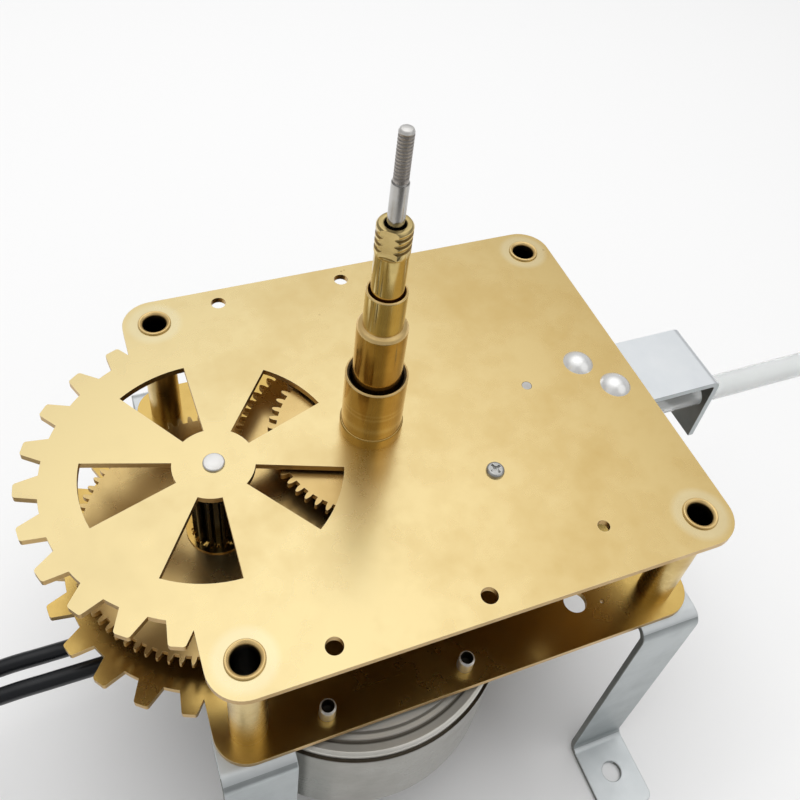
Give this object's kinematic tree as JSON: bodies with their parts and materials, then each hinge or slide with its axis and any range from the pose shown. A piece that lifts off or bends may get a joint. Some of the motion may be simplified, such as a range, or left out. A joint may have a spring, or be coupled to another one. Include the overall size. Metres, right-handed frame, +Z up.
{
  "type": "high torque clock movement",
  "caption": "Motor-driven clock movement: gear train between two brass plates on hollow pillars and bent legs, round motor below, nested hour, minute and second shafts above.",
  "frame": {"origin": "middle of the four foot holes, on the surface that the feet stand on", "axes": "+Z up along the hand shafts, +X towards the bracket and the clear sleeve, -Y towards the picture's viewer"},
  "size_m": [0.3906, 0.1911, 0.2407],
  "materials": {
    "plate_brass": "satin rolled sheet, faint stains",
    "turned_brass": "turned, bright",
    "bright_steel": "turned, bright",
    "dark_steel": "blackened, oiled",
    "zinc_plate": "bright zinc plating",
    "rivet_chrome": "polished",
    "motor_metal": "spun sheet",
    "cast_unit": "die cast",
    "magnet": "sintered",
    "coil_copper": "enamelled wire winding",
    "black_plastic": "moulded",
    "cable_black": "smooth sheath with a soft shine",
    "lead_ends": "insulated conductors in crimped ferrules",
    "clear_plastic": "clear tube"
  },
  "bodies": {
    "frame": {"front_plate": "plate_brass", "rear_plate": "plate_brass", "pillar_front_left": "turned_brass", "pillar_front_right": "turned_brass", "pillar_rear_left": "turned_brass", "pillar_rear_right": "turned_brass", "leg_front_left": "zinc_plate", "leg_front_right": "zinc_plate", "leg_rear_left": "zinc_plate", "leg_rear_right": "zinc_plate", "centre_tube": "turned_brass", "motion_post": "bright_steel", "post_screw": "bright_steel", "motor_cover": "motor_metal", "motor_can": "motor_metal", "motor_bush": "turned_brass", "motor_studs": "bright_steel", "motor_gear_unit": "cast_unit", "motor_stator": "bright_steel", "motor_coil": "coil_copper", "cable_block": "black_plastic", "cable_reliefs": "black_plastic", "tube_bracket": "zinc_plate", "bracket_rivets": "rivet_chrome", "clear_sleeve": "clear_plastic", "cable_upper_run": "cable_black", "cable_upper_coil": "cable_black", "cable_upper_leads": "lead_ends", "cable_lower_run": "cable_black", "cable_lower_coil": "cable_black", "cable_lower_leads": "lead_ends"},
    "hour_body": {"hour_tube": "turned_brass", "hour_wheel": "plate_brass"},
    "minute_body": {"minute_tube": "turned_brass", "minute_wheel": "plate_brass", "minute_pinion": "bright_steel"},
    "second_body": {"second_shaft": "bright_steel", "second_pinion": "dark_steel", "drive_coupling": "turned_brass", "coupling_screw": "dark_steel", "motor_shaft": "bright_steel"},
    "intermediate_body": {"intermediate_arbor": "bright_steel", "intermediate_wheel": "plate_brass", "clutch_washer": "bright_steel", "intermediate_pinion": "dark_steel"},
    "motion_body": {"motion_wheel": "plate_brass", "motion_pinion": "bright_steel"},
    "setting_body": {"setting_arbor": "bright_steel", "setting_pinion": "bright_steel"},
    "rotor_body": {"motor_rotor": "magnet", "rotor_shaft": "bright_steel"}
  },
  "joints": [
    {"name": "intermediate_turn", "type": "hinge", "parent": "frame", "child": "intermediate_body", "pos_m": [-0.058, 0, 0.118], "axis": [0, 0, 1], "continuous": true},
    {"name": "second_turn", "type": "hinge", "parent": "frame", "child": "second_body", "pos_m": [-0.013, 0, 0.15], "axis": [0, 0, 1], "continuous": true},
    {"name": "minute_turn", "type": "hinge", "parent": "frame", "child": "minute_body", "pos_m": [-0.013, 0, 0.15], "axis": [0, 0, 1], "continuous": true},
    {"name": "motion_turn", "type": "hinge", "parent": "frame", "child": "motion_body", "pos_m": [0.01478, -0.02519, 0.13], "axis": [0, 0, 1], "continuous": true},
    {"name": "hour_turn", "type": "hinge", "parent": "frame", "child": "hour_body", "pos_m": [-0.013, 0, 0.15], "axis": [0, 0, 1], "continuous": true},
    {"name": "setting_turn", "type": "hinge", "parent": "frame", "child": "setting_body", "pos_m": [0.03736, 0, 0.1], "axis": [0, 0, 1], "continuous": true},
    {"name": "rotor_turn", "type": "hinge", "parent": "frame", "child": "rotor_body", "pos_m": [-0.024, -0.028, 0.065], "axis": [0, 0, 1], "continuous": true}
  ],
  "couplings": [
    {"joint": "second_turn", "follows": "intermediate_turn", "ratio": -10},
    {"joint": "minute_turn", "follows": "intermediate_turn", "ratio": -0.16667},
    {"joint": "motion_turn", "follows": "intermediate_turn", "ratio": 0.041667},
    {"joint": "hour_turn", "follows": "intermediate_turn", "ratio": -0.013889},
    {"joint": "setting_turn", "follows": "intermediate_turn", "ratio": 0.54545}
  ]
}
